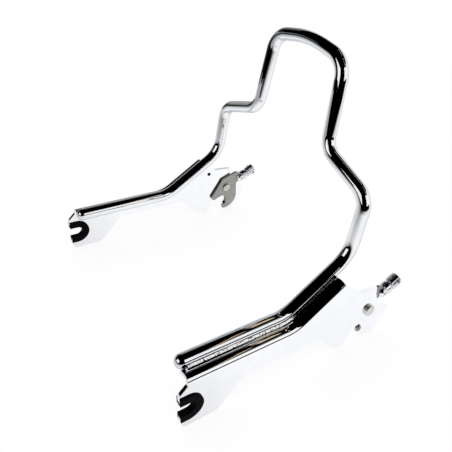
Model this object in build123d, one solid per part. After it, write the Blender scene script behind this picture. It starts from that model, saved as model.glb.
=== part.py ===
import os
from math import cos, hypot, radians, sin, sqrt, tan

from build123d import *

os.makedirs("parts", exist_ok=True)

# Detachable sissy bar. Millimetres and degrees, +X to the rider's left, +Y rearward, +Z up.
# Side dimensions are measured from the lower bend corner of the rod and from the rod axis.

# Hoop rod: one round bar bent into two legs and a narrowed hoop
rod_diameter = 14.3
leg_spacing = 260.0
lower_run = 122.0
lower_bend_radius = 38.0
leg_slope = 33.5
leg_length = 90.5
upper_bend_radius = 38.0
hoop_lean = 5.8
upright_length = 66.3
shoulder_spacing = 125.0
shoulder_rise = 23.2
shoulder_bend_radius = 22.0
hoop_top_spacing = 111.8
hoop_height = 91.5
hoop_corner_radius = 25.0
crown_rise = 10.0
crown_radius = 127.0

# Side plate: flat sheet with its upper edge folded over to the rod and welded there
plate_thickness = 4.0
plate_stand_off = 21.0
weld_gap = 0.05
flange_lift = -0.4
flange_slope = 18.0
flange_bend_radius = 7.0
flange_tuck = 2.0
flange_front = 119.5
flange_leg_length = 65.0
skirt_depth = 12.0
plate_front = 127.5
front_corner_depth = 17.0
front_lean = 2.5
foot_depth = 60.0
foot_toe = 121.0
foot_toe_height = 8.0
foot_heel = 88.0
waist_depth = 29.5
waist_front = 60.0
waist_rear = 31.0
lobe_depth = 58.5
lobe_front = 63.5
tab_rear = 119.0
tail_rear = 139.0
tail_depth = 28.0
tail_heel_rear = 131.0
tail_heel_depth = 44.0
deck_height = 8.5
deck_rear = 117.0
deck_front = 83.5
deck_front_height = 11.2
root_overlap = 0.8
plate_round = 6.0
toe_round = 4.0
lobe_round = 5.0
tab_round = 3.0
tail_round = 10.0
deck_round = 4.0

# Scallop between deck and tail, the rim on which the knob's eye rests when the hook is locked
scallop_rear = 151.4
scallop_height = 11.4
stop_gap = 0.15

# Rear notch for the docking post, flared toward its mouth
notch_rear = 89.7
notch_depth = 37.7
notch_radius = 7.6
notch_flare = 17.5
notch_lip_radius = 2.5

# Front fork with its rubber lining
fork_front = 117.9
fork_depth = 35.2
fork_radius = 10.8
grommet_seat_radius = 7.0
grommet_rim_radius = 14.9
grommet_rim_thickness = 1.6
grommet_fit = 0.05

# Rubber bumper let into the inner face of each plate
bumper_rear = 73.8
bumper_height = 6.3
bumper_radius = 2.4
bumper_recess = 1.5
bumper_proud = 1.2

# Latch pivot: shouldered bolt with a slotted cap, and a washer between plate and hook
pivot_rear = 103.5
pivot_depth = 20.5
pivot_radius = 4.0
running_fit = 0.05
bolt_head_radius = 6.6
bolt_head_height = 3.2
washer_radius = 9.0
washer_thickness = 0.5
side_play = 0.1
cap_radius = 5.6
cap_height = 2.2
cap_slot_width = 1.6
cap_slot_depth = 0.8
cap_slot_angle = 40.0
spigot_radius = 2.5
spigot_length = 1.2
edge_break = 0.6

# Latch hook, measured from the pivot
hook_thickness = 2.8
latch_swing = 22.0
throat_radius = 8.0
throat_heel_radius = 5.0
heel_front = 7.5
heel_height = 14.5
arm_rear = 15.5
arm_height = 23.0
neck_rear = 17.0
neck_height = 4.7
belly_rear = 20.3
belly_depth = 35.8
belly_radius = 20.0
jaw_front = 4.2
jaw_tip_front = 5.2
beak_front = 25.0
beak_depth = 13.0
beak_foot_front = 21.0
beak_foot_depth = 18.3
beak_round = 3.2
arm_round = 3.0
jaw_round = 2.5
jaw_tip_round = 1.0
throat_lead = 2.0

# Knob on the end of the hook: pinned stem with a turning barrel
eye_rear = 23.9
eye_height = 11.6
eye_radius = 6.2
eye_width = 10.0
knob_slope = 26.6
knob_radius = 6.9
tongue_radius = 4.8
eye_pin_radius = 1.6
stem_collar = 10.0
stem_neck = 2.0
stem_neck_radius = 5.2
journal_radius = 4.0
journal_length = 6.2
groove_radius = 3.4
groove_start = 2.4
groove_width = 2.0
knob_length = 12.6
end_play = 0.08
flute_count = 8
flute_radius = 1.3
flute_depth = 0.55
flute_start = 1.6
cross_pin_radius = 1.5
cross_pin_station = 8.4
cross_pin_proud = 1.1
cross_pin_angle = 23.0

rod_radius = rod_diameter / 2
leg_x = leg_spacing / 2
outer_face = leg_x + plate_stand_off
inner_face = outer_face - plate_thickness
leg_run = Vector(cos(radians(leg_slope)), sin(radians(leg_slope)))
leg_normal = Vector(-leg_run.Y, leg_run.X)
pivot = Vector(pivot_rear, -pivot_depth)
hook_outer = inner_face - washer_thickness - side_play
hook_inner = hook_outer - hook_thickness
hook_middle = (hook_outer + hook_inner) / 2
knob_run = Vector(cos(radians(knob_slope)), sin(radians(knob_slope)))
knob_normal = Vector(-knob_run.Y, knob_run.X)
eye = pivot + Vector(eye_rear, eye_height)


def turned(arm, angle):
    """A vector of the side view turned about the X direction."""
    c, s = cos(radians(angle)), sin(radians(angle))
    return Vector(c * arm.X - s * arm.Y, s * arm.X + c * arm.Y)


def side_plane(x):
    """Side view plane at the given x: local axes are rearward and up, normal +X."""
    return Plane(origin=(x, 0, 0), x_dir=(0, 1, 0), z_dir=(1, 0, 0))


def pivot_disc(x_from, x_to, radius):
    """Cylinder about the latch pivot between two x values."""
    disc = Pos(pivot.X, pivot.Y) * Circle(radius)
    return extrude(side_plane(x_from) * disc, amount=x_to - x_from)


# Hoop rod: swept along its filleted centre line, with domed front ends
hoop_up = Vector(0, sin(radians(hoop_lean)), cos(radians(hoop_lean)))
leg_top = Vector(leg_x, leg_length * leg_run.X, leg_length * leg_run.Y)
left_side = [
    Vector(leg_x, rod_radius - lower_run, 0),
    Vector(leg_x, 0, 0),
    leg_top,
    leg_top + hoop_up * upright_length,
    leg_top + hoop_up * (upright_length + shoulder_rise) + Vector(shoulder_spacing / 2 - leg_x, 0, 0),
    leg_top
    + hoop_up * (upright_length + shoulder_rise + hoop_height)
    + Vector(hoop_top_spacing / 2 - leg_x, 0, 0),
]
crown = left_side[-1] + hoop_up * crown_rise - Vector(hoop_top_spacing / 2, 0, 0)
right_side = [Vector(-p.X, p.Y, p.Z) for p in reversed(left_side)]
side_bends = [
    lower_bend_radius,
    upper_bend_radius,
    shoulder_bend_radius,
    shoulder_bend_radius,
    hoop_corner_radius,
]
rod_line = FilletPolyline(
    *left_side,
    crown,
    *right_side,
    radius=[*side_bends, crown_radius, *reversed(side_bends)],
)
rod_section = Plane(origin=left_side[0], x_dir=(1, 0, 0), z_dir=(0, 1, 0)) * Circle(rod_radius)
hoop_rod = sweep(rod_section, path=rod_line)
for tip in (left_side[0], right_side[-1]):
    hoop_rod += Pos(*tip) * Sphere(rod_radius)

# Left side plate: folded flange and skirt swept along the rod, joined to the flat outline
fold_line = side_plane(0) * FilletPolyline(
    (-flange_front, 0),
    (0, 0),
    tuple(leg_run * flange_leg_length)[:2],
    radius=[lower_bend_radius],
)
bend_middle = Vector(outer_face - flange_bend_radius, flange_lift - flange_bend_radius)
inner_bend_radius = flange_bend_radius - plate_thickness
flange_edge = leg_x + rod_radius - flange_tuck


def flange_height(x, radius):
    """Height of the sloping flange surface that is tangent to the bend of that radius."""
    slope = radians(flange_slope)
    return bend_middle.Y + (radius + (x - bend_middle.X) * sin(slope)) / cos(slope)


fold_section = make_face(
    FilletPolyline(
        (outer_face, -skirt_depth),
        (outer_face, flange_height(outer_face, flange_bend_radius)),
        (flange_edge, flange_height(flange_edge, flange_bend_radius)),
        (flange_edge, flange_height(flange_edge, inner_bend_radius)),
        (inner_face, flange_height(inner_face, inner_bend_radius)),
        (inner_face, -skirt_depth),
        radius=[0, flange_bend_radius, 0, 0, inner_bend_radius, 0],
        close=True,
    )
)
fold_section -= Pos(leg_x, 0) * Circle(rod_radius + weld_gap)
fold = sweep(Plane(origin=(0, -flange_front, 0), x_dir=(1, 0, 0), z_dir=(0, -1, 0)) * fold_section, path=fold_line)

root_depth = flange_bend_radius - flange_lift + root_overlap
root_corner = root_depth * tan(radians(leg_slope / 2))
flange_end = leg_run * flange_leg_length - leg_normal * root_depth
flare = radians(notch_flare)
mouth_run = (lobe_depth - notch_depth + notch_radius * sin(flare)) / cos(flare)
mouth_half = notch_radius * cos(flare) + mouth_run * sin(flare)
lobe_rear = notch_rear - mouth_half
tab_front = notch_rear + mouth_half
corners = [
    (-flange_front, -root_depth, 0),
    (-plate_front, -front_corner_depth, plate_round),
    (front_lean - plate_front, foot_toe_height - foot_depth, plate_round),
    (-foot_toe, -foot_depth, toe_round),
    (-foot_heel, -foot_depth, plate_round),
    (-waist_front, -waist_depth, plate_round),
    (waist_rear, -waist_depth, plate_round),
    (lobe_front, -lobe_depth, lobe_round),
    (tab_front, -lobe_depth, 0),
    (tab_rear, -foot_depth, tab_round),
    (tail_heel_rear, -tail_heel_depth, tail_round),
    (tail_rear, -tail_depth, 0),
    (deck_rear, deck_height, 0),
    (deck_front, deck_front_height, deck_round),
    (flange_end.X, flange_end.Y, 0),
    (root_corner, -root_depth, lower_bend_radius + root_depth),
]
outline = make_face(
    FilletPolyline(*[(y, z) for y, z, r in corners], radius=[r for y, z, r in corners], close=True)
)

# Scallop behind the deck, as deep as the eye of the knob reaches when the hook is locked
locked_eye = pivot + turned(eye - pivot, -latch_swing)
eye_reach = sqrt(eye_radius**2 - (inner_face - hook_middle) ** 2)
scallop_radius = hypot(scallop_rear - locked_eye.X, scallop_height - locked_eye.Y) + eye_reach + stop_gap
outline -= Pos(scallop_rear, scallop_height) * Circle(scallop_radius)

notch = Pos(notch_rear, -notch_depth) * Circle(notch_radius)
notch_top = notch_radius * sin(flare) - notch_depth
notch_wall = notch_radius * cos(flare)
mouth_drop = 2 * lobe_depth
notch += make_face(
    Polyline(
        (notch_rear - notch_wall, notch_top),
        (notch_rear + notch_wall, notch_top),
        (notch_rear + notch_wall + mouth_drop * sin(flare), notch_top - mouth_drop * cos(flare)),
        (notch_rear - notch_wall - mouth_drop * sin(flare), notch_top - mouth_drop * cos(flare)),
        close=True,
    )
)
outline -= notch
for lip in ((lobe_rear, -lobe_depth), (tab_front, -lobe_depth)):
    outline = fillet(outline.vertices().sort_by_distance((*lip, 0))[0], notch_lip_radius)

slot_length = 2 * plate_front
fork = Pos(-fork_front, -fork_depth) * Circle(fork_radius)
fork += Pos(-fork_front - slot_length / 2, -fork_depth) * Rectangle(slot_length, 2 * fork_radius)
outline -= fork
side_plate = fold + extrude(side_plane(inner_face) * outline, amount=plate_thickness)
side_plate -= pivot_disc(inner_face - 1, outer_face + 1, pivot_radius + running_fit)
bumper_spot = Pos(bumper_rear, bumper_height) * Circle(bumper_radius + grommet_fit)
side_plate -= extrude(side_plane(inner_face) * bumper_spot, amount=bumper_recess)

# Rubber bumper: a short plug with a rounded face
bumper = extrude(
    side_plane(inner_face - bumper_proud) * Pos(bumper_rear, bumper_height) * Circle(bumper_radius),
    amount=bumper_proud + bumper_recess - grommet_fit,
)
bumper = chamfer(bumper.edges().sort_by(Axis.X)[0], edge_break)

# Rubber fork lining: a web in the fork between two rims lying on the faces of the plate
front_line = [
    (-plate_front, -front_corner_depth),
    (front_lean - plate_front, foot_toe_height - foot_depth),
    (0, foot_toe_height - foot_depth),
    (0, -front_corner_depth),
]
behind_front = make_face(Polyline(*front_line, close=True))


def fork_band(radius):
    """Slot shape open to the front edge of the plate, with a round rear end."""
    band = Pos(-fork_front, -fork_depth) * Circle(radius)
    band += Pos(-fork_front - slot_length / 2, -fork_depth) * Rectangle(slot_length, 2 * radius)
    return band & behind_front


rim = fork_band(grommet_rim_radius) - fork_band(grommet_seat_radius)
web = fork_band(fork_radius - grommet_fit) - fork_band(grommet_seat_radius)
rim_inner = inner_face - grommet_fit - grommet_rim_thickness
rim_outer = outer_face + grommet_fit
grommet = extrude(side_plane(rim_inner) * web, amount=plate_thickness + 2 * (grommet_fit + grommet_rim_thickness))
for x_rim in (rim_inner, rim_outer):
    grommet += extrude(side_plane(x_rim) * rim, amount=grommet_rim_thickness)

# Latch pivot
spigot_face = hook_inner - side_play
bolt = pivot_disc(spigot_face, outer_face, pivot_radius)
bolt += pivot_disc(spigot_face - spigot_length, spigot_face, spigot_radius)
head = pivot_disc(outer_face, outer_face + bolt_head_height, bolt_head_radius)
bolt += fillet(head.edges().filter_by(GeomType.CIRCLE).sort_by(Axis.X)[-1], edge_break)
washer = pivot_disc(inner_face - washer_thickness, inner_face, washer_radius)
washer -= pivot_disc(inner_face - washer_thickness, inner_face, pivot_radius + running_fit)
cap = pivot_disc(spigot_face - cap_height, spigot_face, cap_radius)
cap = chamfer(cap.edges().filter_by(GeomType.CIRCLE).sort_by(Axis.X)[0], edge_break)
cap -= pivot_disc(spigot_face - spigot_length - side_play, spigot_face, spigot_radius + running_fit)
slot_bar = Pos(pivot.X, pivot.Y) * Rot(0, 0, -cap_slot_angle) * Rectangle(3 * cap_radius, cap_slot_width)
cap -= extrude(side_plane(spigot_face - cap_height) * slot_bar, amount=cap_slot_depth)

# Latch hook: its throat comes round the post in the notch when it is turned to the locked place
post = Vector(notch_rear, -notch_depth)
throat = pivot + turned(post - pivot, latch_swing)
tongue_tip = eye + knob_run * tongue_radius
tongue_round = 0.98 * tongue_radius
throat_round = 0.99 * throat_radius
hook_corners = [
    (pivot.X - heel_front, pivot.Y + heel_height, jaw_round),
    (pivot.X + arm_rear, pivot.Y + arm_height, arm_round),
    (*tuple(tongue_tip + knob_normal * tongue_radius)[:2], tongue_round),
    (*tuple(tongue_tip - knob_normal * tongue_radius)[:2], tongue_round),
    (pivot.X + neck_rear, pivot.Y + neck_height, arm_round),
    (pivot.X + belly_rear, pivot.Y - belly_depth, belly_radius),
    (pivot.X - jaw_front, pivot.Y - belly_depth, jaw_round),
    (pivot.X - jaw_tip_front, throat.Y - throat_radius, jaw_tip_round),
    (throat.X + throat_radius, throat.Y - throat_radius, throat_heel_radius),
    (throat.X + throat_radius, throat.Y + throat_radius, throat_round),
    (throat.X - throat_lead, throat.Y + throat_radius, throat_lead),
    (pivot.X - beak_foot_front, pivot.Y - beak_foot_depth, beak_round),
    (pivot.X - beak_front, pivot.Y - beak_depth, beak_round),
]
hook_outline = make_face(
    FilletPolyline(*[(y, z) for y, z, r in hook_corners], radius=[r for y, z, r in hook_corners], close=True)
)
hook_outline -= Pos(pivot.X, pivot.Y) * Circle(pivot_radius + running_fit)
hook_outline -= Pos(eye.X, eye.Y) * Circle(eye_pin_radius + running_fit)
hook = extrude(side_plane(hook_inner) * hook_outline, amount=hook_thickness)

# Knob: stem, eye pin, barrel and cross pin, built along the local Z axis from the eye
knob_frame = Plane(origin=(hook_middle, eye.X, eye.Y), x_dir=(1, 0, 0), z_dir=(0, knob_run.X, knob_run.Y))
neck_end = stem_collar + stem_neck
barrel_start = neck_end + end_play
stem = Sphere(eye_radius)
collar = Pos(0, 0, eye_width / 3) * extrude(Circle(knob_radius), amount=stem_collar - eye_width / 3)
stem += chamfer(collar.edges().filter_by(GeomType.CIRCLE), edge_break)
stem += extrude(Circle(stem_neck_radius), amount=neck_end)
stem += extrude(Circle(journal_radius), amount=neck_end + journal_length)
groove = Circle(journal_radius + 1) - Circle(groove_radius)
stem -= Pos(0, 0, neck_end + groove_start) * extrude(groove, amount=groove_width)
cheek_cut = Pos(0, 0, eye_width / 3 - eye_radius) * Box(3 * eye_width, 4 * eye_radius, 2 * eye_radius)
cheek_cut -= Pos(0, 0, eye_width / 3 - eye_radius) * Box(eye_width, 4 * eye_radius, 2 * eye_radius)
stem -= cheek_cut
fork_gap = hook_thickness + 2 * side_play
fork_floor = tongue_radius + 4 * side_play
stem -= Pos(0, 0, fork_floor - 2 * eye_radius) * Box(fork_gap, 4 * knob_radius, 4 * eye_radius)
pin_line = Plane(origin=(-eye_width / 2, 0, 0), x_dir=(0, 1, 0), z_dir=(1, 0, 0))
stem -= extrude(pin_line * Circle(eye_pin_radius + running_fit), amount=eye_width)
eye_pin = extrude(pin_line * Circle(eye_pin_radius), amount=eye_width)

barrel = Pos(0, 0, barrel_start) * extrude(Circle(knob_radius), amount=knob_length)
barrel = fillet(barrel.edges().filter_by(GeomType.CIRCLE), edge_break)
flute_line = PolarLocations(knob_radius + flute_radius - flute_depth, flute_count)
flute_ring = Sketch() + [place * Circle(flute_radius) for place in flute_line]
barrel -= Pos(0, 0, barrel_start + flute_start) * extrude(flute_ring, amount=knob_length)
bore_length = journal_length + 2 * side_play
barrel -= Pos(0, 0, barrel_start) * extrude(Circle(journal_radius + running_fit), amount=bore_length)
rib = Circle(journal_radius + 4 * side_play) - Circle(groove_radius + running_fit)
barrel += Pos(0, 0, neck_end + groove_start + end_play) * extrude(rib, amount=groove_width - 2 * end_play)
cross_reach = knob_radius + cross_pin_proud
cross_line = Plane(origin=(-cross_reach, 0, barrel_start + cross_pin_station), x_dir=(0, 1, 0), z_dir=(1, 0, 0))
cross_turn = Rot(0, 0, -cross_pin_angle)
barrel -= cross_turn * extrude(cross_line * Circle(cross_pin_radius + running_fit), amount=2 * cross_reach)
cross_pin = extrude(cross_line * Circle(cross_pin_radius), amount=2 * cross_reach)
cross_pin = cross_turn * chamfer(cross_pin.edges().filter_by(GeomType.CIRCLE), edge_break / 2)

left_parts = {
    "side_plate": side_plate,
    "front_grommet": grommet,
    "bumper": bumper,
    "pivot_bolt": bolt,
    "pivot_washer": washer,
    "pivot_cap": cap,
    "latch_hook": hook,
    "knob_stem": knob_frame * stem,
    "eye_pin": knob_frame * eye_pin,
    "latch_knob": knob_frame * barrel,
    "cross_pin": knob_frame * cross_pin,
}
nodes = {"hoop_rod": hoop_rod}
for name, solid in left_parts.items():
    nodes["left_" + name] = solid
    nodes["right_" + name] = mirror(solid, about=Plane.YZ)

# The finished frame has its origin under the middle of the whole bar, at the feet of the plates
whole = Compound(children=[Compound(solid.solids()) for solid in nodes.values()]).bounding_box()
to_origin = Pos(0, -(whole.min.Y + whole.max.Y) / 2, -whole.min.Z)
for name, solid in nodes.items():
    placed = to_origin * solid
    export_step(placed, "parts/" + name + ".step")
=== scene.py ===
from math import cos, pi, radians, sin, tan

import bpy
from mathutils import Matrix, Vector


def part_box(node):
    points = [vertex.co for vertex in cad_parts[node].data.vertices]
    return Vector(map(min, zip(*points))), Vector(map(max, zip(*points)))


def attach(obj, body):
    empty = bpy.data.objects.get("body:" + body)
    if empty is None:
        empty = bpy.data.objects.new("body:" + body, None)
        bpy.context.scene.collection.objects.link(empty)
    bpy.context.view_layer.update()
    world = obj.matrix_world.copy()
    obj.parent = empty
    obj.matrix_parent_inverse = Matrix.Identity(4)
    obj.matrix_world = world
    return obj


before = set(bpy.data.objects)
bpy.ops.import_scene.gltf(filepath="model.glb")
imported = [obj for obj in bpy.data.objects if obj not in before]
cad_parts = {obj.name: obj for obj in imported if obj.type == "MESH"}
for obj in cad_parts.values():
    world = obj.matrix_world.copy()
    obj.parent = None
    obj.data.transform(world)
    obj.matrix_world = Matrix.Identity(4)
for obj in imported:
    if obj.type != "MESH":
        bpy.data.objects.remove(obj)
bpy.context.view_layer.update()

MM = 0.001

# Chrome: edges rounded by buffing, polishing clouds, the wheel's waves, and the colour at a glancing angle
EDGE_ROUND = 0.5 * MM
EDGE_SAMPLES = 6
CLOUD_WIDTH = 12 * MM
CLOUD_LOW = 0.3
CLOUD_HIGH = 0.7
WAVE_LENGTH = 25 * MM
WAVE_HEIGHT = 0.4 * MM
WAVE_STRENGTH = 0.05
ROUND_EDGE = "#c0c5cc"
SHEET_EDGE = "#f8fafd"

# Chrome finishes: tint, colour of the clouds, and roughness of the smoothest and of the dullest place
BAR_CHROME = ("#f4f5f7", "#eef0f3", 0.02, 0.04)
SHEET_CHROME = ("#fbfcfe", "#f6f8fc", 0.02, 0.045)
BOLT_CHROME = ("#f2f0eb", "#e8e5df", 0.38, 0.46)
KNOB_CHROME = ("#f6f7f9", "#eceef2", 0.09, 0.14)
CAP_CHROME = ("#d4d4d0", "#bebeba", 0.16, 0.26)

# Brushed steel: streaks, drawn wide enough to show, and their direction on the hook
STREAK_WIDTH = 0.6 * MM
STREAK_STRETCH = 0.06
STREAK_TILT = radians(20)
STREAK_DEPTH = 0.05 * MM
STREAK_STRENGTH = 0.06
STEEL_SHADES = ((0.3, "#90908c"), (0.75, "#b6b6b1"))
STEEL_ROUGH_LOW = 0.34
STEEL_ROUGH_HIGH = 0.52

# Rubber: grain of the mould and pale bloom
GRAIN_WIDTH = 0.5 * MM
GRAIN_DEPTH = 0.08 * MM
GRAIN_STRENGTH = 0.3
BLOOM_WIDTH = 6 * MM
RUBBER_SHADES = ((0.35, "#030304"), (0.75, "#09090b"))
RUBBER_ROUGH_LOW = 0.6
RUBBER_ROUGH_HIGH = 0.8
RUBBER_IOR = 1.5
RUBBER_SPECULAR = 0.05

# Weld seam between rod and folded plate, as the rod and the plate lie in the frame
ROD_RADIUS = 7.15 * MM
LOWER_RUN = 122 * MM
LOWER_BEND_RADIUS = 38 * MM
LEG_SLOPE = radians(33.5)
LEG_SEAM_LENGTH = 50 * MM
SEAM_OUT = 7.33 * MM
SEAM_RISE = -0.86 * MM
FRONT_INSET = 2 * MM
BEAD_SIDES = 3
BEAD_RADIUS = 1.39 * MM
BEAD_TILT = radians(-128.5)
BEAD_PITCH = 3.6 * MM
BEAD_WAIST = 0.95
BEAD_SMOOTH_ANGLE = radians(60)

# Plating of the weld, with dull dark patches of painted shade for the shade in the bead's hollows
SHADE_PATCH_WIDTH = 1.6 * MM
WELD_TONE_AND_PAINTED_SHADE = ((0.58, "#eeeff2"), (0.64, "#303033"))
WELD_ROUGH_LOW = 0.05
WELD_ROUGH_HIGH = 0.3

# Camera: the photograph's viewpoint, in the part's own frame
CAMERA_PLACE = Vector((0.4032, -0.2846, 0.4155))
CAMERA_LOOK = Vector((-0.694, 0.542, -0.474))
CAMERA_ROLL = radians(6.8)
CAMERA_LENS = 40.47
CAMERA_NEAR = 10 * MM
SENSOR_WIDTH = 36.0
FRAME_PIXELS = 452
OPTICAL_CENTRE = (254.5, 179.0)

# Floor and light, in metres and watts
SET_CENTRE = Vector((0, 0, 0.12))
FLOOR_SIZE = 12.0
FLOOR_GLOW = 0.88
SHADOW_REACH = 0.5
SHADOW_END = 1.5
WORLD_LIGHT = 0.55
LAMP_SIZE = 1.6
KEY_PLACE = (0.8, -0.5, 1.8)
KEY_POWER = 22
FILL_PLACE = (-1.1, 0.3, 1.6)
FILL_POWER = 14

# Dark room in front of the set, in metres. Some of its cloths fade along one axis, from where
# they are dark to where they are clear.
ROOM_SIDE = 1.1
ROOM_HEIGHT = 1.1
WINDOW_LEFT = -0.4
WINDOW_RIGHT = 0.5
WINDOW_SILL = 0.2
WINDOW_HEAD = 0.85
CEILING_STEP = 0.7
CEILING_LEFT_DARK = 0.7
CEILING_RIGHT_DARK = 0.3
CEILING_FADE = 0.9
RIGHT_WALL_BACK = 0.1
RIGHT_SKIRTING_BACK = 1.0
RIGHT_SKIRTING_HEIGHT = 0.28
LEFT_WALL_DARK = -0.3
LEFT_WALL_CLEAR = 1.1
LEFT_RAIL_HEIGHT = 0.52
LEFT_DADO_DARK = -2.4
LEFT_DADO_CLEAR = 1.3
LEFT_SKIRTING_BACK = 0.05
LEFT_SKIRTING_DARK = 0.25
LEFT_SKIRTING_CLEAR = 0.42
LEFT_SKIRTING_TONE = 0.4
LEFT_SKIRTING_GAP = 0.01
EYE_GAMMA = 2.2

# Painted shade on the floor: grey cards, one above the other, seen by the chrome alone and darker towards
# the front and the right; and glowing warm strips under the ceiling; in metres
FLOOR_SHADE_LEVEL = 0.001
FLOOR_SHADE_FRONT_DARK = -0.45
FLOOR_SHADE_FRONT_CLEAR = -0.05
FLOOR_SHADE_FRONT_TONE = 0.66
FLOOR_SHADE_EDGE_LEFT = 0.1
FLOOR_SHADE_EDGE_DARK = -0.9
FLOOR_SHADE_EDGE_CLEAR = -0.3
FLOOR_SHADE_RIGHT_DARK = 2.4
FLOOR_SHADE_RIGHT_CLEAR = 0.45
FLOOR_SHADE_RIGHT_BACK = 1.0
LEFT_STRIP = ((-0.2, 0.48), (0.2, 0.57))
RIGHT_STRIP = ((0.35, 0.41), (0.92, 0.47))
STRIP_DROP = 0.005
GLOW_MOTTLE = 1 / 6
GLOW_SHADES = ((0.35, "#8a7156"), (0.65, "#f3dcba"))


def linear(hex_colour):
    """Linear colour with full alpha for an sRGB hex value."""
    channels = [int(hex_colour[i:i + 2], 16) / 255 for i in (1, 3, 5)]
    return [c / 12.92 if c <= 0.04045 else ((c + 0.055) / 1.055) ** 2.4 for c in channels] + [1.0]


def add_node(tree, kind, inputs=None, stops=(), **settings):
    """Add one shader node, set its properties and colour stops, and fill its inputs with values or links."""
    node = tree.nodes.new("ShaderNode" + kind)
    for name, value in settings.items():
        setattr(node, name, value)
    for number, (position, colour) in enumerate(stops):
        node.color_ramp.elements[number].position = position
        node.color_ramp.elements[number].color = linear(colour)
    for name, value in (inputs or {}).items():
        if isinstance(value, bpy.types.NodeSocket):
            tree.links.new(value, node.inputs[name])
        else:
            node.inputs[name].default_value = value
    return node


def new_material(name):
    """Empty node material with its tree and its output."""
    material = bpy.data.materials.new(name)
    material.use_nodes = True
    material.node_tree.nodes.clear()
    output = add_node(material.node_tree, "OutputMaterial")
    return material, material.node_tree, output


def bright_chrome(name, tint, cloud, rough_low, rough_high, edge=ROUND_EDGE):
    """Decorative chrome over polished steel.

    It gives the eye a hard mirror with a cold cast, faint polishing clouds, a slight waviness left by
    the buffing wheel, and a thin grey line along the outline of what is round.
    """
    material, tree, output = new_material(name)
    place = add_node(tree, "TexCoord").outputs["Object"]
    clouds = add_node(tree, "TexNoise", {"Vector": place, "Scale": 1 / CLOUD_WIDTH, "Detail": 3.0})
    colour = add_node(
        tree,
        "ValToRGB",
        {"Fac": clouds.outputs["Fac"]},
        stops=((CLOUD_LOW, cloud), (CLOUD_HIGH, tint)),
    )
    rough = add_node(
        tree,
        "MapRange",
        {"Value": clouds.outputs["Fac"], "To Min": rough_high, "To Max": rough_low},
    )
    waves = add_node(tree, "TexNoise", {"Vector": place, "Scale": 1 / WAVE_LENGTH, "Detail": 1.0})
    edges = add_node(tree, "Bevel", {"Radius": EDGE_ROUND}, samples=EDGE_SAMPLES)
    ripple = add_node(
        tree,
        "Bump",
        {
            "Height": waves.outputs["Fac"],
            "Strength": WAVE_STRENGTH,
            "Distance": WAVE_HEIGHT,
            "Normal": edges.outputs["Normal"],
        },
    )
    shader = add_node(
        tree,
        "BsdfPrincipled",
        {
            "Base Color": colour.outputs["Color"],
            "Metallic": 1.0,
            "Roughness": rough.outputs["Result"],
            "Specular Tint": linear(edge),
            "Normal": ripple.outputs["Normal"],
        },
    )
    tree.links.new(shader.outputs["BSDF"], output.inputs["Surface"])
    return material


def brushed_steel():
    """Satin steel of the latch, brushed along its length.

    It gives the eye a soft grey metal with fine streaks.
    """
    material, tree, output = new_material("brushed_satin_steel")
    place = add_node(tree, "TexCoord").outputs["Object"]
    along = add_node(
        tree,
        "Mapping",
        {"Vector": place, "Rotation": (STREAK_TILT, 0, 0), "Scale": (1, STREAK_STRETCH, 1)},
    )
    streaks = add_node(
        tree,
        "TexNoise",
        {"Vector": along.outputs["Vector"], "Scale": 1 / STREAK_WIDTH, "Detail": 4.0},
    )
    colour = add_node(tree, "ValToRGB", {"Fac": streaks.outputs["Fac"]}, stops=STEEL_SHADES)
    rough = add_node(
        tree,
        "MapRange",
        {"Value": streaks.outputs["Fac"], "To Min": STEEL_ROUGH_LOW, "To Max": STEEL_ROUGH_HIGH},
    )
    scratch = add_node(
        tree,
        "Bump",
        {"Height": streaks.outputs["Fac"], "Strength": STREAK_STRENGTH, "Distance": STREAK_DEPTH},
    )
    shader = add_node(
        tree,
        "BsdfPrincipled",
        {
            "Base Color": colour.outputs["Color"],
            "Metallic": 1.0,
            "Roughness": rough.outputs["Result"],
            "Normal": scratch.outputs["Normal"],
        },
    )
    tree.links.new(shader.outputs["BSDF"], output.inputs["Surface"])
    return material


def moulded_rubber():
    """Moulded black rubber of the fork linings and bumpers.

    It gives the eye a deep soft black with a dull sheen and a fine mould grain.
    """
    material, tree, output = new_material("moulded_black_rubber")
    place = add_node(tree, "TexCoord").outputs["Object"]
    grain = add_node(tree, "TexNoise", {"Vector": place, "Scale": 1 / GRAIN_WIDTH, "Detail": 3.0})
    bloom = add_node(tree, "TexNoise", {"Vector": place, "Scale": 1 / BLOOM_WIDTH, "Detail": 2.0})
    colour = add_node(tree, "ValToRGB", {"Fac": bloom.outputs["Fac"]}, stops=RUBBER_SHADES)
    rough = add_node(
        tree,
        "MapRange",
        {"Value": grain.outputs["Fac"], "To Min": RUBBER_ROUGH_LOW, "To Max": RUBBER_ROUGH_HIGH},
    )
    pits = add_node(
        tree,
        "Bump",
        {"Height": grain.outputs["Fac"], "Strength": GRAIN_STRENGTH, "Distance": GRAIN_DEPTH},
    )
    shader = add_node(
        tree,
        "BsdfPrincipled",
        {
            "Base Color": colour.outputs["Color"],
            "Roughness": rough.outputs["Result"],
            "IOR": RUBBER_IOR,
            "Specular IOR Level": RUBBER_SPECULAR,
            "Normal": pits.outputs["Normal"],
        },
    )
    tree.links.new(shader.outputs["BSDF"], output.inputs["Surface"])
    return material


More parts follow.
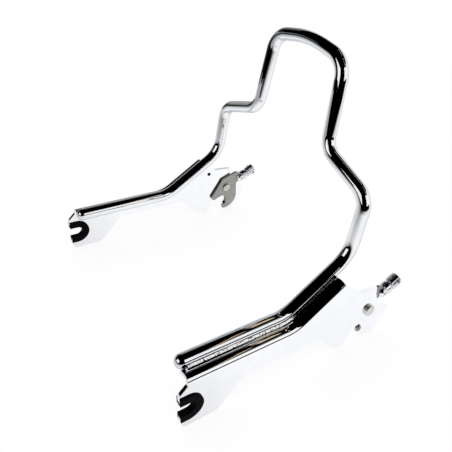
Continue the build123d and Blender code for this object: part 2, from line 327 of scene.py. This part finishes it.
def plated_weld():
    """Chrome over a weld bead.

    It gives the eye a bright bead, broken by dull dark patches of painted shade, which stand in for the
    shade in the bead's hollows.
    """
    material, tree, output = new_material("chrome_plated_weld")
    place = add_node(tree, "TexCoord").outputs["Object"]
    shade_patches = add_node(tree, "TexNoise", {"Vector": place, "Scale": 1 / SHADE_PATCH_WIDTH, "Detail": 1.0})
    # painted shade: the dark stop darkens patches of the bead, for the shade in its hollows
    colour = add_node(tree, "ValToRGB", {"Fac": shade_patches.outputs["Fac"]}, stops=WELD_TONE_AND_PAINTED_SHADE)
    rough = add_node(
        tree,
        "MapRange",
        {"Value": shade_patches.outputs["Fac"], "To Min": WELD_ROUGH_LOW, "To Max": WELD_ROUGH_HIGH},
    )
    shader = add_node(
        tree,
        "BsdfPrincipled",
        {
            "Base Color": colour.outputs["Color"],
            "Metallic": 1.0,
            "Roughness": rough.outputs["Result"],
        },
    )
    tree.links.new(shader.outputs["BSDF"], output.inputs["Surface"])
    return material


def dress(piece, material):
    """Give a piece one material on all its faces."""
    piece.data.materials.clear()
    piece.data.materials.append(material)


def dress_nodes():
    """Give every solid of the frame its finish, the same on the left and on the right."""
    knob = bright_chrome("chrome_plated_knob", *KNOB_CHROME)
    steel = brushed_steel()
    rubber = moulded_rubber()
    finishes = {
        "hoop_rod": bright_chrome("chrome_plated_bar", *BAR_CHROME),
        "side_plate": bright_chrome("chrome_plated_sheet", *SHEET_CHROME, SHEET_EDGE),
        "front_grommet": rubber,
        "bumper": rubber,
        "pivot_bolt": bright_chrome("chrome_plated_bolt", *BOLT_CHROME),
        "pivot_washer": steel,
        "pivot_cap": bright_chrome("satin_chrome_cap", *CAP_CHROME),
        "latch_hook": steel,
        "knob_stem": knob,
        "eye_pin": steel,
        "latch_knob": knob,
        "cross_pin": steel,
    }
    for node_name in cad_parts:
        piece_name = node_name.removeprefix("left_").removeprefix("right_")
        dress(bpy.data.objects[node_name], finishes[piece_name])


def straight_ripple(place, step):
    """Extrude the selected bead end straight on by one ripple, to a waist and to full size again."""
    for swell in (BEAD_WAIST, 1 / BEAD_WAIST):
        bpy.ops.mesh.extrude_region_move(TRANSFORM_OT_translate={"value": step / 2})
        place = place + step / 2
        bpy.ops.transform.resize(value=(swell, swell, swell), center_override=place)
    return place


def bent_ripple(place, centre, turn):
    """Extrude the selected bead end by one ripple round a bend's centre, upwards."""
    for swell in (BEAD_WAIST, 1 / BEAD_WAIST):
        bpy.ops.mesh.extrude_region_move(TRANSFORM_OT_translate={"value": (0, 0, 0)})
        bpy.ops.transform.rotate(
            value=-turn / 2,
            orient_axis="X",
            orient_type="GLOBAL",
            center_override=centre,
        )
        place = centre + Matrix.Rotation(turn / 2, 3, "X") @ (place - centre)
        bpy.ops.transform.resize(value=(swell, swell, swell), center_override=place)
    return place


def weld_bead():
    """Rippled three-sided bead that fills the left seam, with one side facing out.

    It runs along the lower run, round the bend and up the leg.
    """
    rod_low, rod_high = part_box("hoop_rod")
    rod_x = rod_high[0] - ROD_RADIUS
    rod_z = rod_low[2] + ROD_RADIUS
    corner_y = rod_low[1] + LOWER_RUN
    bend_start = corner_y - LOWER_BEND_RADIUS * tan(LEG_SLOPE / 2)
    start = Vector((rod_x + SEAM_OUT, rod_low[1] + ROD_RADIUS + FRONT_INSET, rod_z + SEAM_RISE))
    bpy.ops.object.select_all(action="DESELECT")
    bpy.ops.mesh.primitive_circle_add(
        vertices=BEAD_SIDES,
        radius=BEAD_RADIUS,
        fill_type="NGON",
        location=start,
        rotation=(pi / 2, BEAD_TILT, 0),
    )
    bead = bpy.context.object
    bead.name = "left_weld_bead"
    bpy.ops.object.transform_apply(location=True, rotation=True, scale=True)
    bpy.ops.object.mode_set(mode="EDIT")
    bpy.ops.mesh.select_all(action="SELECT")
    place = start
    run = bend_start - start.y
    run_ripples = round(run / BEAD_PITCH)
    run_step = Vector((0, run / run_ripples, 0))
    for _ in range(run_ripples):
        place = straight_ripple(place, run_step)
    bend_centre = Vector((start.x, place.y, rod_z + LOWER_BEND_RADIUS))
    bend_ripples = round(LOWER_BEND_RADIUS * LEG_SLOPE / BEAD_PITCH)
    for _ in range(bend_ripples):
        place = bent_ripple(place, bend_centre, LEG_SLOPE / bend_ripples)
    leg_ripples = round(LEG_SEAM_LENGTH / BEAD_PITCH)
    leg_step = Vector((0, cos(LEG_SLOPE), sin(LEG_SLOPE))) * (LEG_SEAM_LENGTH / leg_ripples)
    for _ in range(leg_ripples):
        place = straight_ripple(place, leg_step)
    bpy.ops.mesh.select_all(action="SELECT")
    bpy.ops.mesh.normals_make_consistent(inside=False)
    bpy.ops.object.mode_set(mode="OBJECT")
    bpy.ops.object.shade_smooth_by_angle(angle=BEAD_SMOOTH_ANGLE)
    return bead


def mirrored_copy(piece, name):
    """Copy of a left piece on the right side, with its own mesh."""
    bpy.ops.object.select_all(action="DESELECT")
    piece.select_set(True)
    bpy.context.view_layer.objects.active = piece
    bpy.ops.object.duplicate(linked=False)
    copy = bpy.context.object
    copy.name = name
    bpy.ops.object.mode_set(mode="EDIT")
    bpy.ops.mesh.select_all(action="SELECT")
    bpy.ops.transform.mirror(constraint_axis=(True, False, False), center_override=(0, 0, 0))
    bpy.ops.mesh.normals_make_consistent(inside=False)
    bpy.ops.object.mode_set(mode="OBJECT")
    return copy


def seen_by_eye(tree):
    """One for camera, glossy and transmission rays, and nought for the rays that carry light."""
    rays = add_node(tree, "LightPath").outputs
    seen = rays["Is Camera Ray"]
    for kind in ("Is Glossy Ray", "Is Transmission Ray"):
        seen = add_node(tree, "Math", {0: seen, 1: rays[kind]}, operation="MAXIMUM").outputs["Value"]
    return seen


def studio_floor():
    """Pale seamless floor that takes the object's soft shadow and turns pure white further off."""
    bpy.ops.object.select_all(action="DESELECT")
    bpy.ops.mesh.primitive_plane_add(size=FLOOR_SIZE, location=(0, 0, 0))
    floor = bpy.context.object
    floor.name = "studio_floor"
    material, tree, output = new_material("matt_white_paper")
    paper = add_node(tree, "BsdfDiffuse", {"Color": linear("#f4f4f4")})
    glow = add_node(tree, "Emission", {"Color": linear("#ffffff"), "Strength": 1.0})
    place = add_node(tree, "TexCoord").outputs["Object"]
    distance = add_node(tree, "VectorMath", {0: place}, operation="LENGTH").outputs["Value"]
    whiter = add_node(
        tree,
        "MapRange",
        {"Value": distance, "From Min": SHADOW_REACH, "From Max": SHADOW_END, "To Min": FLOOR_GLOW},
    )
    share = add_node(
        tree,
        "Math",
        {0: seen_by_eye(tree), 1: whiter.outputs["Result"]},
        operation="MULTIPLY",
    )
    mix = add_node(
        tree,
        "MixShader",
        {0: share.outputs["Value"], 1: paper.outputs["BSDF"], 2: glow.outputs["Emission"]},
    )
    tree.links.new(mix.outputs["Shader"], output.inputs["Surface"])
    dress(floor, material)


def studio_world():
    """Even white surroundings for the eye and for the chrome, dimmer for the light they give."""
    world = bpy.data.worlds.new("studio_world")
    world.use_nodes = True
    tree = world.node_tree
    tree.nodes.clear()
    output = add_node(tree, "OutputWorld")
    dim = add_node(tree, "Background", {"Color": linear("#ffffff"), "Strength": WORLD_LIGHT})
    white = add_node(tree, "Background", {"Color": linear("#ffffff"), "Strength": 1.0})
    mix = add_node(
        tree,
        "MixShader",
        {0: seen_by_eye(tree), 1: dim.outputs["Background"], 2: white.outputs["Background"]},
    )
    tree.links.new(mix.outputs["Shader"], output.inputs["Surface"])
    bpy.context.scene.world = world


def cloth_and_painted_shade(name, axis=None, dark_at=0.0, clear_at=1.0, tone=0.0):
    """Black cloth, or one that thins out evenly to the eye along an axis, from a tone to clear; the grey
    floor cards use it as painted shade.
    """
    material, tree, output = new_material(name)
    cloth = add_node(tree, "BsdfTransparent", {"Color": linear("#000000")})
    if axis is not None:
        place = add_node(tree, "NewGeometry").outputs["Position"]
        along = add_node(tree, "SeparateXYZ", {"Vector": place}).outputs[axis]
        thin = add_node(
            tree,
            "MapRange",
            {"Value": along, "From Min": dark_at, "From Max": clear_at, "To Min": tone},
        )
        shade = add_node(tree, "Math", {0: thin.outputs["Result"], 1: EYE_GAMMA}, operation="POWER")
        tree.links.new(shade.outputs["Value"], cloth.inputs["Color"])
    tree.links.new(cloth.outputs["BSDF"], output.inputs["Surface"])
    return material


def warm_glow_strip():
    """Two narrow strips that glow warm, though they are no lamps, and draw warm streaks in the dark bands of
    the chrome.
    """
    material, tree, output = new_material("warm_glow_strip")
    place = add_node(tree, "NewGeometry").outputs["Position"]
    mottle = add_node(tree, "TexNoise", {"Vector": place, "Scale": 1 / GLOW_MOTTLE, "Detail": 2.0})
    colour = add_node(tree, "ValToRGB", {"Fac": mottle.outputs["Fac"]}, stops=GLOW_SHADES)
    # the strips glow warm, though they are no lamps, for the warm glints in the chrome
    warm_glow = add_node(tree, "Emission", {"Color": colour.outputs["Color"], "Strength": 1.0})
    tree.links.new(warm_glow.outputs["Emission"], output.inputs["Surface"])
    return material


def set_card(name, low, high, material):
    """Flat card between two corners of an upright or level rectangle, seen by the chrome alone."""
    span = Vector(high) - Vector(low)
    middle = (Vector(high) + Vector(low)) / 2
    flat_axis = min(range(3), key=lambda axis: abs(span[axis]))
    turn = [(0, pi / 2, 0), (pi / 2, 0, 0), (0, 0, 0)][flat_axis]
    size = [(span.z, span.y, 1), (span.x, span.z, 1), (span.x, span.y, 1)][flat_axis]
    bpy.ops.object.select_all(action="DESELECT")
    bpy.ops.mesh.primitive_plane_add(size=1, location=middle, rotation=turn)
    card = bpy.context.object
    card.name = name
    card.scale = size
    dress(card, material)
    card.visible_camera = False
    card.visible_diffuse = False
    card.visible_shadow = False


def dark_room():
    """Dark cloths round the front of the set, with a bright window, that draw the dark bands; grey cards of
    painted shade on the floor; and glowing warm strips under the ceiling.
    """
    side = ROOM_SIDE
    top = ROOM_HEIGHT
    ceiling_left_clear = CEILING_LEFT_DARK + CEILING_FADE
    ceiling_right_clear = CEILING_RIGHT_DARK + CEILING_FADE
    skirting_x = LEFT_SKIRTING_GAP - side
    cloths = {
        "ceiling_left": (
            (-side, -side, top),
            (CEILING_STEP, ceiling_left_clear, top),
            ("Y", CEILING_LEFT_DARK, ceiling_left_clear),
        ),
        "ceiling_right": (
            (CEILING_STEP, -side, top),
            (side, ceiling_right_clear, top),
            ("Y", CEILING_RIGHT_DARK, ceiling_right_clear),
        ),
        "right_wall": (
            (side, -side, 0),
            (side, RIGHT_WALL_BACK, top),
            (),
        ),
        "right_skirting": (
            (side, RIGHT_WALL_BACK, 0),
            (side, RIGHT_SKIRTING_BACK, RIGHT_SKIRTING_HEIGHT),
            (),
        ),
        "left_wall": (
            (-side, -side, LEFT_RAIL_HEIGHT),
            (-side, LEFT_WALL_CLEAR, top),
            ("Y", LEFT_WALL_DARK, LEFT_WALL_CLEAR),
        ),
        "left_dado": (
            (-side, -side, 0),
            (-side, LEFT_DADO_CLEAR, LEFT_RAIL_HEIGHT),
            ("Y", LEFT_DADO_DARK, LEFT_DADO_CLEAR),
        ),
        "left_skirting": (
            (skirting_x, -side, 0),
            (skirting_x, LEFT_SKIRTING_BACK, LEFT_SKIRTING_CLEAR),
            ("Z", LEFT_SKIRTING_DARK, LEFT_SKIRTING_CLEAR, LEFT_SKIRTING_TONE),
        ),
        "front_wall_left": (
            (-side, -side, 0),
            (WINDOW_LEFT, -side, top),
            (),
        ),
        "front_wall_right": (
            (WINDOW_RIGHT, -side, 0),
            (side, -side, top),
            (),
        ),
        "window_sill": (
            (WINDOW_LEFT, -side, 0),
            (WINDOW_RIGHT, -side, WINDOW_SILL),
            (),
        ),
        "window_head": (
            (WINDOW_LEFT, -side, WINDOW_HEAD),
            (WINDOW_RIGHT, -side, top),
            (),
        ),
        # painted shade: grey cards on the floor, seen by the chrome alone, darker towards the front and the
        # right, stand in for the floor's light falling off there
        "floor_shade_front": (
            (-side, -side, FLOOR_SHADE_LEVEL),
            (side, FLOOR_SHADE_FRONT_CLEAR, FLOOR_SHADE_LEVEL),
            ("Y", FLOOR_SHADE_FRONT_DARK, FLOOR_SHADE_FRONT_CLEAR, FLOOR_SHADE_FRONT_TONE),
        ),
        "floor_shade_edge": (
            (FLOOR_SHADE_EDGE_LEFT, -side, 3 * FLOOR_SHADE_LEVEL),
            (side, FLOOR_SHADE_EDGE_CLEAR, 3 * FLOOR_SHADE_LEVEL),
            ("Y", FLOOR_SHADE_EDGE_DARK, FLOOR_SHADE_EDGE_CLEAR),
        ),
        "floor_shade_right": (
            (FLOOR_SHADE_RIGHT_CLEAR, -side, 2 * FLOOR_SHADE_LEVEL),
            (side, FLOOR_SHADE_RIGHT_BACK, 2 * FLOOR_SHADE_LEVEL),
            ("X", FLOOR_SHADE_RIGHT_DARK, FLOOR_SHADE_RIGHT_CLEAR),
        ),
    }
    for name, (low, high, fade) in cloths.items():
        set_card(name, low, high, cloth_and_painted_shade(name + "_velvet", *fade))
    strip_height = top - STRIP_DROP
    warm_glow = warm_glow_strip()
    for name, (low, high) in {"left_strip": LEFT_STRIP, "right_strip": RIGHT_STRIP}.items():
        set_card(name, (*low, strip_height), (*high, strip_height), warm_glow)


def soft_lamp(name, place, power):
    """Square soft lamp that looks at the middle of the set and isn't mirrored in the chrome."""
    data = bpy.data.lights.new(name, "AREA")
    data.size = LAMP_SIZE
    data.energy = power
    lamp = bpy.data.objects.new(name, data)
    lamp.location = place
    lamp.rotation_euler = (SET_CENTRE - Vector(place)).to_track_quat("-Z", "Y").to_euler()
    lamp.visible_glossy = False
    bpy.context.collection.objects.link(lamp)


def photo_camera():
    """Camera at the photograph's place, turned and framed as the photograph is."""
    data = bpy.data.cameras.new("photo_camera")
    data.lens = CAMERA_LENS
    data.sensor_width = SENSOR_WIDTH
    data.shift_x = (FRAME_PIXELS / 2 - OPTICAL_CENTRE[0]) / FRAME_PIXELS
    data.shift_y = (OPTICAL_CENTRE[1] - FRAME_PIXELS / 2) / FRAME_PIXELS
    data.clip_start = CAMERA_NEAR
    camera = bpy.data.objects.new("photo_camera", data)
    camera.location = CAMERA_PLACE
    level = CAMERA_LOOK.to_track_quat("-Z", "Y").to_matrix()
    camera.rotation_euler = (level @ Matrix.Rotation(CAMERA_ROLL, 3, "Z")).to_euler()
    bpy.context.collection.objects.link(camera)
    bpy.context.scene.camera = camera


dress_nodes()
left_bead = weld_bead()
right_bead = mirrored_copy(left_bead, "right_weld_bead")
weld_chrome = plated_weld()
for bead in (left_bead, right_bead):
    dress(bead, weld_chrome)
    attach(bead, "frame")

studio_floor()
studio_world()
dark_room()
soft_lamp("key_lamp", KEY_PLACE, KEY_POWER)
soft_lamp("fill_lamp", FILL_PLACE, FILL_POWER)
photo_camera()

scene = bpy.context.scene
scene.view_settings.view_transform = "Standard"
